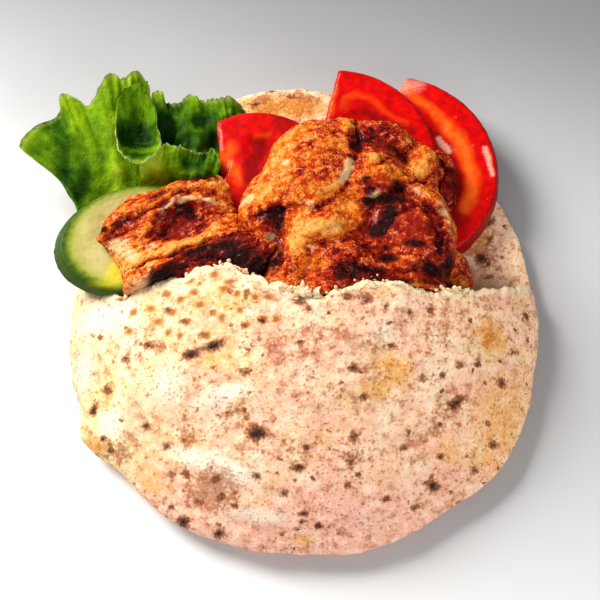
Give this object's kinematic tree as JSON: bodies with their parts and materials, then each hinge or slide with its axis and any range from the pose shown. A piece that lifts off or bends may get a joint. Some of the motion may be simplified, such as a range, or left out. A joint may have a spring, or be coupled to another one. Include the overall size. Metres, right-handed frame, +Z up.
{
  "type": "chicken sandwich",
  "caption": "Round pita opened into a pocket and lying on its back, filled with spiced grilled chicken, tomato slices, a cucumber slice and lettuce that show at the torn mouth.",
  "frame": {"origin": "on the flat underside of the pita, under its centre", "axes": "+Z up from the table through the thin way of the sandwich; +Y towards the open, torn mouth; +X to the right as seen from the closed end"},
  "size_m": [0.1786, 0.1711, 0.0434],
  "materials": {
    "pita_bread": "matt, floury baked dough with brown spots and small char marks",
    "grilled_chicken": "rough spiced crust, oily sheen, charred in places",
    "tomato": "wet cut flesh with a glossy skin edge",
    "cucumber": "moist pale flesh with a dark green skin edge",
    "lettuce": "soft sheen, veined leaf"
  },
  "bodies": {
    "root": {"pita_bread": "pita_bread", "chicken_main": "grilled_chicken", "chicken_back": "grilled_chicken", "chicken_left": "grilled_chicken", "tomato_right": "tomato", "tomato_middle": "tomato", "tomato_left": "tomato", "cucumber_slice": "cucumber", "lettuce_fan": "lettuce", "lettuce_back": "lettuce", "lettuce_cup": "lettuce", "lettuce_ruffle": "lettuce"}
  },
  "joints": []
}
